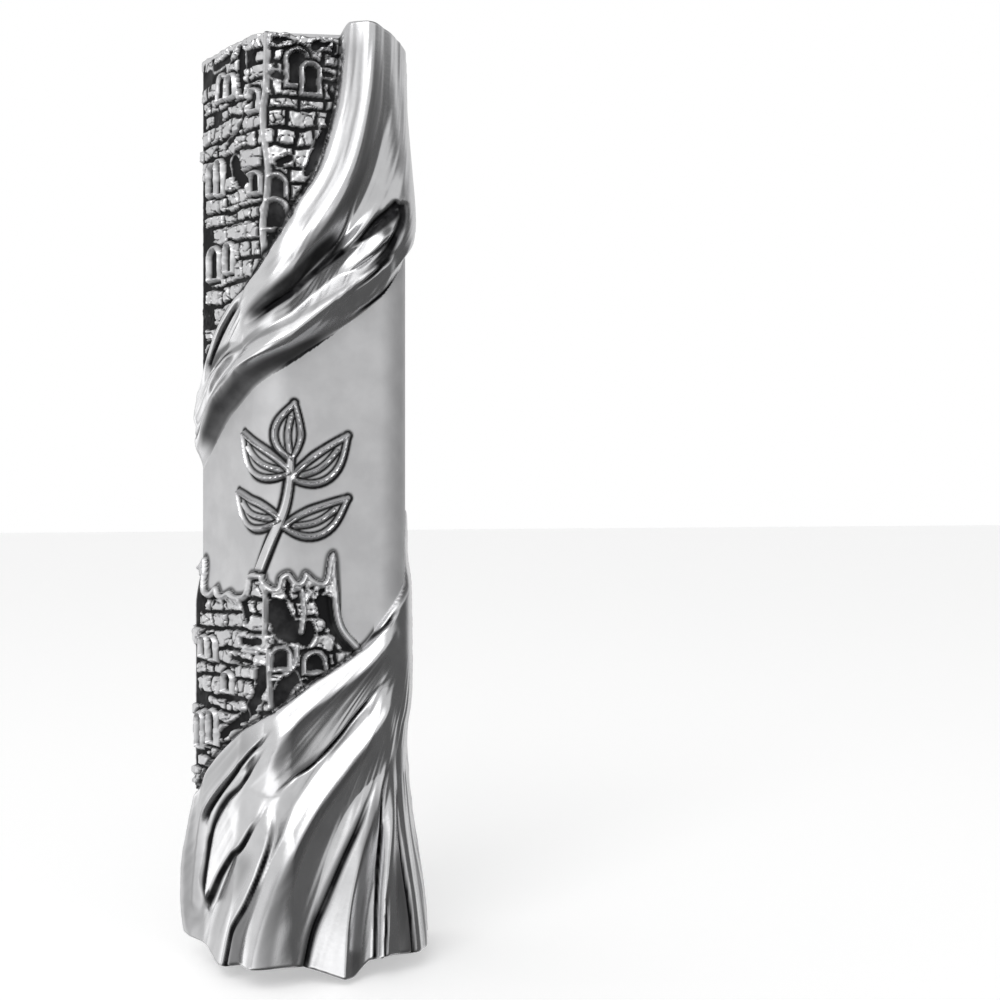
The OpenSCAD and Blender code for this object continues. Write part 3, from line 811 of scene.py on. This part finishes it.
def cut_back(shell, rim):
    """Adds the back with its rebate, the scroll's channel, the pockets and the screws' holes."""
    rebate = rebate_outline()
    mouth = shell.ring(rebate, 0)
    ledge = shell.ring(rebate, REBATE_Y)
    shell.fill(rim, [mouth])
    shell.strip(mouth, ledge)

    turn = np.linspace(0, math.pi, 25)
    round_part = [(CHANNEL_R * math.cos(t), CHANNEL_Y - CHANNEL_R * math.sin(t)) for t in turn]
    across = [(CHANNEL_R, REBATE_Y)] + round_part + [(-CHANNEL_R, REBATE_Y)]
    low = shell.add([(x, y, -CHANNEL_HALF_H) for x, y in across])
    high = shell.add([(x, y, CHANNEL_HALF_H) for x, y in across])
    shell.strip(low, high, closed=False)
    shell.faces.append(tuple(low))
    shell.faces.append(tuple(high))
    holes = [[low[0], high[0], high[-1], low[-1]]]

    cuts = [(keyhole_pocket(z), POCKET_Y) for z in KEYHOLE_ZS]
    cuts += [(screw_hole(side * SCREW_X, end * SCREW_Z), SCREW_HOLE_Y) for side in (-1, 1) for end in (-1, 1)]
    for outline, depth in cuts:
        mouth = shell.ring(outline, REBATE_Y)
        floor = shell.ring(outline, depth)
        shell.strip(mouth, floor)
        shell.faces.append(tuple(floor))
        holes.append(mouth)
    shell.fill(ledge, holes)


def build_casting():
    """The casting as one closed mesh, with its polish, and its patina and painted shade, kept on its
    vertices.
    """
    out, polish, patina_and_shade = skin_heights()
    x, y, out_x, out_y = section(S)
    skin_x, skin_y = x + out * out_x, y + out * out_y
    # The first and last columns lie on the back
    for column, side in ((0, -1), (-1, 1)):
        skin_x[:, column] = side * (BACK_W / 2 + out[:, column])
        skin_y[:, column] = 0
        polish[:, column] = BACK_POLISH
        patina_and_shade[:, column] = BACK_PATINA
    shell = Shell()
    rim = build_skin(shell, skin_x, skin_y, out_x, out_y)
    cut_back(shell, rim)

    mesh = bpy.data.meshes.new("casting")
    mesh.from_pydata([(vx * MM, vy * MM, vz * MM) for vx, vy, vz in shell.points], [], shell.faces)
    mesh.validate()
    for name, values, rest in (("polish", polish, BACK_POLISH), ("patina_and_shade", patina_and_shade, BACK_PATINA)):
        full = np.full(len(mesh.vertices), rest, np.float32)
        full[: values.size] = values.ravel()
        mesh.attributes.new(name, "FLOAT", "POINT").data.foreach_set("value", full)
    shape = bmesh.new()
    shape.from_mesh(mesh)
    bmesh.ops.recalc_face_normals(shape, faces=shape.faces)
    shape.to_mesh(mesh)
    shape.free()
    mesh.shade_smooth()
    mesh.set_sharp_from_angle(angle=math.radians(50))
    casting = bpy.data.objects.new("casting", mesh)
    bpy.context.scene.collection.objects.link(casting)
    return casting


# ---------------------------------------------------------------- materials

def new_material(name):
    """A new material with its node tree and its shader."""
    material = bpy.data.materials.new(name)
    material.use_nodes = True
    tree = material.node_tree
    return material, tree, tree.nodes["Principled BSDF"]


def noise(tree, scale, detail, stretch=None):
    """Noise in the object's own space, drawn out along an axis where stretch is below 1."""
    where = tree.nodes.new("ShaderNodeTexCoord").outputs["Object"]
    if stretch:
        mapping = tree.nodes.new("ShaderNodeMapping")
        mapping.inputs["Scale"].default_value = stretch
        tree.links.new(where, mapping.inputs["Vector"])
        where = mapping.outputs["Vector"]
    texture = tree.nodes.new("ShaderNodeTexNoise")
    texture.inputs["Scale"].default_value = scale
    texture.inputs["Detail"].default_value = detail
    tree.links.new(where, texture.inputs["Vector"])
    return texture.outputs["Fac"]


def spread(tree, source, low, high, from_low=0.0, from_high=1.0):
    """Maps a socket's values to a new range."""
    node = tree.nodes.new("ShaderNodeMapRange")
    node.inputs["From Min"].default_value = from_low
    node.inputs["From Max"].default_value = from_high
    node.inputs["To Min"].default_value = low
    node.inputs["To Max"].default_value = high
    tree.links.new(source, node.inputs["Value"])
    return node.outputs["Result"]


def plug(tree, value, socket):
    """Gives a socket a constant or another socket's value."""
    if isinstance(value, (int, float, tuple)):
        socket.default_value = value
    else:
        tree.links.new(value, socket)


def blend(tree, amount, first, second):
    """Mixes two colours by a socket."""
    node = tree.nodes.new("ShaderNodeMix")
    node.data_type = "RGBA"
    tree.links.new(amount, node.inputs["Factor"])
    # Sockets 6 and 7 are the colours: those before them belong to the node's other data types
    plug(tree, first, node.inputs[6])
    plug(tree, second, node.inputs[7])
    return node.outputs[2]


def math_node(tree, operation, first, second):
    """Joins two values, each a socket or a number, by a sum or a product."""
    node = tree.nodes.new("ShaderNodeMath")
    node.operation = operation
    plug(tree, first, node.inputs[0])
    plug(tree, second, node.inputs[1])
    return node.outputs[0]


def attribute(tree, name):
    """A value kept on the mesh's vertices."""
    node = tree.nodes.new("ShaderNodeAttribute")
    node.attribute_name = name
    return node.outputs["Fac"]


def bump(tree, shader, height, distance, strength):
    """A fine bump, too small to be geometry."""
    node = tree.nodes.new("ShaderNodeBump")
    node.inputs["Distance"].default_value = distance
    node.inputs["Strength"].default_value = strength
    tree.links.new(height, node.inputs["Height"])
    tree.links.new(node.outputs["Normal"], shader.inputs["Normal"])


def grained(name, tint, colours, grain, roughness, relief, **constants):
    """A material whose tint noise mixes two colours, and whose grain noise sets roughness and a fine bump.

    A noise is its scale, its detail and, where it is drawn out, its stretch. Constants are shader inputs.
    """
    material, tree, shader = new_material(name)
    fine = noise(tree, *grain)
    broad = fine if tint == grain else noise(tree, *tint)
    tree.links.new(blend(tree, broad, *colours), shader.inputs["Base Color"])
    tree.links.new(spread(tree, fine, *roughness), shader.inputs["Roughness"])
    bump(tree, shader, fine, *relief)
    for socket, value in constants.items():
        shader.inputs[socket.replace("_", " ")].default_value = value
    return material


def pewter():
    """Cast pewter: polished cloth, satin panel, black patina left in the recesses, and painted shade along
    the cloth's folds and under its edges.
    """
    material, tree, shader = new_material("pewter")
    polish = attribute(tree, "polish")
    patina_and_shade = attribute(tree, "patina_and_shade")
    cloudy = noise(tree, 260, 5)
    fine = noise(tree, 1800, 3)
    darkening = math_node(tree, "MULTIPLY", patina_and_shade, spread(tree, cloudy, 0.93, 1.07, 0.3, 0.7))
    metal = blend(tree, spread(tree, cloudy, 0, 1, 0.35, 0.65), (0.66, 0.66, 0.67, 1), (0.74, 0.74, 0.75, 1))
    # The black is patina in the recesses, and painted shade along the folds and under the cloth edges
    tree.links.new(blend(tree, darkening, metal, (0.012, 0.012, 0.013, 1)), shader.inputs["Base Color"])
    tree.links.new(spread(tree, polish, 0.25, 1.0, 0.0, 0.8), shader.inputs["Metallic"])
    rough = math_node(tree, "ADD", spread(tree, polish, 0.52, 0.22), spread(tree, fine, -0.03, 0.04))
    rough = math_node(tree, "ADD", rough, math_node(tree, "MULTIPLY", darkening, 0.35))
    tree.links.new(rough, shader.inputs["Roughness"])
    bump(tree, shader, fine, 0.00003, 0.35)
    return material


def brushed_steel():
    """Rolled steel sheet with a fine grain along its length."""
    grain = (6000, 2, (1, 1, 0.02))
    colours = ((0.5, 0.51, 0.52, 1), (0.62, 0.63, 0.64, 1))
    return grained("brushed_steel", grain, colours, grain, (0.28, 0.48), (0.00002, 0.4), Metallic=1.0)


def zinc():
    """Bright zinc plating, slightly cloudy."""
    cloudy = (900, 4)
    colours = ((0.66, 0.66, 0.62, 1), (0.8, 0.8, 0.78, 1))
    return grained("zinc", cloudy, colours, cloudy, (0.2, 0.38), (0.00002, 0.3), Metallic=1.0)


def clear_plastic():
    """Clear extruded tube, faintly hazy."""
    haze = (700, 3)
    colours = ((0.93, 0.96, 0.98, 1), (0.98, 0.99, 1, 1))
    return grained("clear_plastic", haze, colours, haze, (0.03, 0.12), (0.00002, 0.2), Alpha=0.3, IOR=1.46)


def cap_plastic():
    """Moulded off-white polythene."""
    grain = (2500, 3)
    colours = ((0.8, 0.79, 0.74, 1), (0.86, 0.85, 0.81, 1))
    return grained("cap_plastic", grain, colours, grain, (0.42, 0.58), (0.00003, 0.4),
                   Subsurface_Weight=0.1, Subsurface_Radius=(0.001, 0.001, 0.0008))


def parchment():
    """Scraped parchment: mottled, warm and matte."""
    mottle, pores = (180, 6), (3500, 3)
    colours = ((0.66, 0.55, 0.38, 1), (0.84, 0.77, 0.62, 1))
    return grained("parchment", mottle, colours, pores, (0.6, 0.8), (0.00004, 0.5))


def dress(node, material):
    """Gives a CAD node its material."""
    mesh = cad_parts[node].data
    mesh.materials.clear()
    mesh.materials.append(material)


casting = build_casting()
casting.data.materials.append(pewter())
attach(casting, "casting")
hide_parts("case_casting")

dress("back_plate", brushed_steel())
screw_zinc = zinc()
for number in range(1, 5):
    dress(f"plate_screw_{number}", screw_zinc)
dress("scroll_sleeve", clear_plastic())
caps = cap_plastic()
dress("sleeve_cap_upper", caps)
dress("sleeve_cap_lower", caps)
dress("klaf_scroll", parchment())

# ---------------------------------------------------------------- camera, floor and light

# The camera stands close, a little to the case's left and at half its height. It looks past the case on its
# right, as in the photo, where the case stands left of the middle.
CAMERA_TURN = math.radians(14)
CAMERA_HEADING = math.radians(14 + 7.15)
CAMERA_AWAY = 0.2192
CAMERA_Z = 0.00015
AIM_Y = -0.009
SENSOR_W = 36
FOCAL_LENGTH = 51.48
NEAREST_SEEN = 0.01

camera_data = bpy.data.cameras.new("camera")
camera_data.sensor_width = SENSOR_W
camera_data.lens = FOCAL_LENGTH
camera_data.clip_start = NEAREST_SEEN
camera = bpy.data.objects.new("camera", camera_data)
camera_x = -CAMERA_AWAY * math.sin(CAMERA_TURN)
camera.location = (camera_x, AIM_Y - CAMERA_AWAY * math.cos(CAMERA_TURN), CAMERA_Z)
camera.rotation_euler = (math.pi / 2, 0, -CAMERA_HEADING)
bpy.context.scene.collection.objects.link(camera)
bpy.context.scene.camera = camera

FLOOR_HALF = 3.0
FLOOR_Z = cad_box[0][2] - 0.0001
# The floor looks nearly white, but sends little light back up to the case
FLOOR_LIT = (0.1, 0.1, 0.1, 1)
FLOOR_SEEN = (0.9, 0.9, 0.9, 1)
FLOOR_GLOW = 0.3


def stage_floor():
    """A plain pale floor under the hem, left out of the metal's reflections."""
    corners = [(-1, -1), (1, -1), (1, 1), (-1, 1)]
    mesh = bpy.data.meshes.new("floor")
    mesh.from_pydata([(x * FLOOR_HALF, y * FLOOR_HALF, FLOOR_Z) for x, y in corners], [], [(0, 1, 2, 3)])
    floor = bpy.data.objects.new("floor", mesh)
    bpy.context.scene.collection.objects.link(floor)
    material, tree, shader = new_material("floor")
    by_camera = tree.nodes.new("ShaderNodeLightPath").outputs["Is Camera Ray"]
    tree.links.new(blend(tree, by_camera, FLOOR_LIT, FLOOR_SEEN), shader.inputs["Base Color"])
    tree.links.new(math_node(tree, "MULTIPLY", by_camera, FLOOR_GLOW), shader.inputs["Emission Strength"])
    shader.inputs["Emission Color"].default_value = (1, 1, 1, 1)
    shader.inputs["Roughness"].default_value = 0.9
    mesh.materials.append(material)
    floor.visible_glossy = False


# Each panel of the studio: the direction towards it, its edge and full reach as cosines, and its brightness
STUDIO_PANELS = [
    ((0.9, -0.25, -0.35), 0.62, 0.85, 0.12),
    ((0.1, -0.2, -0.97), 0.6, 0.88, 0.12),
    ((-0.45, -0.72, 0.45), 0.88, 0.97, 1.45),
    ((-0.3, -0.5, 0.8), 0.85, 0.96, 1.35),
    ((-0.55, -0.68, -0.48), 0.88, 0.96, 1.5),
    ((-0.82, 0.0, -0.55), 0.92, 0.98, 1.5),
    ((-0.55, 0.82, -0.1), 0.92, 0.985, 1.7),
    ((-0.95, 0.25, 0.1), 0.6, 0.95, 0.85),
    ((0.4, 0.1, 0.9), 0.7, 0.95, 0.15),
]
STUDIO_LEVEL = 0.75


def grey(level):
    """A grey of that brightness."""
    return (level, level, level, 1)


def studio_world():
    """A soft studio: pale all round, bright on the left, darker on the right, above and below.

    The panels light the case and show in it, but the camera sees plain white.
    """
    world = bpy.data.worlds.new("studio")
    bpy.context.scene.world = world
    world.use_nodes = True
    tree = world.node_tree
    where = tree.nodes.new("ShaderNodeTexCoord")
    colour = grey(STUDIO_LEVEL)
    for towards, edge, full, brightness in STUDIO_PANELS:
        facing = tree.nodes.new("ShaderNodeVectorMath")
        facing.operation = "DOT_PRODUCT"
        tree.links.new(where.outputs["Generated"], facing.inputs[0])
        facing.inputs[1].default_value = Vector(towards).normalized()
        reach = spread(tree, facing.outputs["Value"], 0, 1, edge, full)
        colour = blend(tree, reach, colour, grey(brightness))
    by_camera = tree.nodes.new("ShaderNodeLightPath").outputs["Is Camera Ray"]
    tree.links.new(blend(tree, by_camera, colour, grey(1)), tree.nodes["Background"].inputs["Color"])


KEY_PLACE = (-0.35, -0.45, 0.45)
KEY_SIZE = 0.35
KEY_WATTS = 1.2


def key_light():
    """A soft square light at the upper left that faces the case's middle."""
    data = bpy.data.lights.new("key", "AREA")
    data.shape = "RECTANGLE"
    data.size = KEY_SIZE
    data.size_y = KEY_SIZE
    data.energy = KEY_WATTS
    light = bpy.data.objects.new("key", data)
    light.location = KEY_PLACE
    light.rotation_euler = (-Vector(KEY_PLACE)).to_track_quat("-Z", "Y").to_euler()
    bpy.context.scene.collection.objects.link(light)


bpy.context.scene.view_settings.view_transform = "Standard"
stage_floor()
studio_world()
key_light()

bpy.context.view_layer.update()
